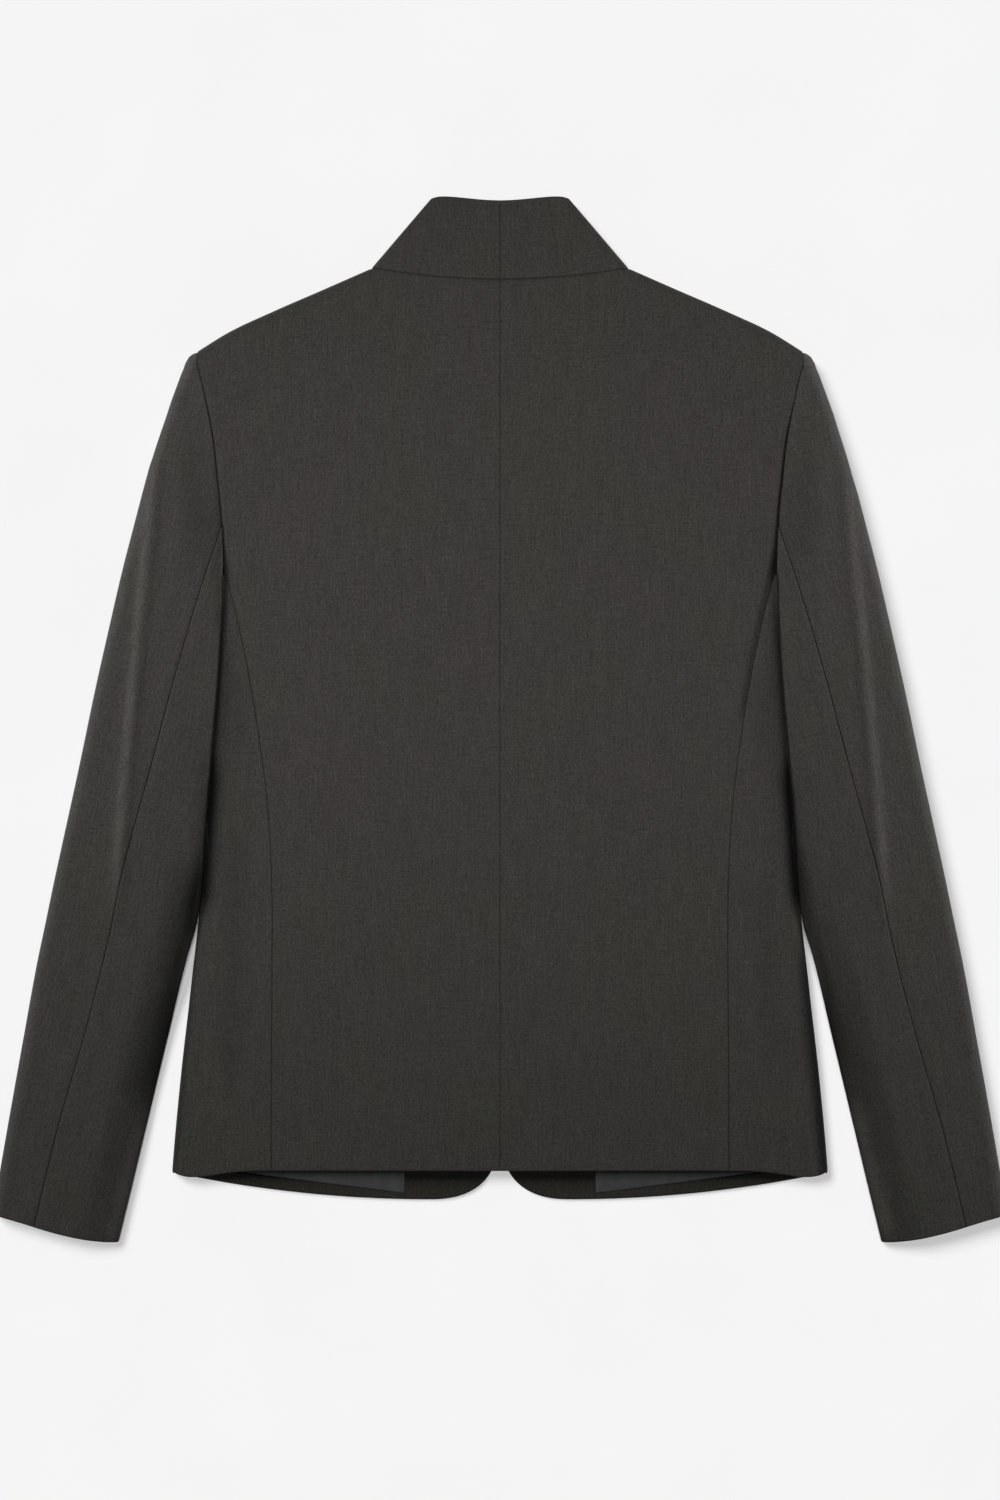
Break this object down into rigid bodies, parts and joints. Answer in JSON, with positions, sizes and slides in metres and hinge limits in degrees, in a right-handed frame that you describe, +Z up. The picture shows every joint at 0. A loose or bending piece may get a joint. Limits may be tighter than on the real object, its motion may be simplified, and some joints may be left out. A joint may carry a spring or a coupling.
{
  "type": "high neck blazer",
  "caption": "Charcoal wool high neck blazer laid flat, face down: tall stand collar, set-in sleeves with elbow seams, princess back seams, rounded front corners below a shorter back hem.",
  "frame": {"origin": "on the surface that the blazer lies on, under the middle of its outline", "axes": "+Y towards the collar along the centre-back seam, +Z up out of the surface, +X towards the wearer's right side"},
  "size_m": [0.6878, 0.7101, 0.0173],
  "materials": {
    "wool": "matt worsted wool suiting, charcoal, fine streaky weave",
    "facing": "same wool suiting on the inside of the front edge and hem",
    "lining": "smooth dark lining with a soft sheen"
  },
  "bodies": {
    "root": {"back_right": "wool", "back_left": "wool", "side_right": "wool", "side_left": "wool", "front_right": "wool", "front_left": "wool", "top_sleeve_right": "wool", "top_sleeve_left": "wool", "under_sleeve_right": "wool", "under_sleeve_left": "wool", "collar_right": "wool", "collar_left": "wool", "facing_right": "facing", "facing_left": "facing", "turn_up_right": "facing", "turn_up_left": "facing", "lining_right": "lining", "lining_left": "lining"}
  },
  "joints": []
}
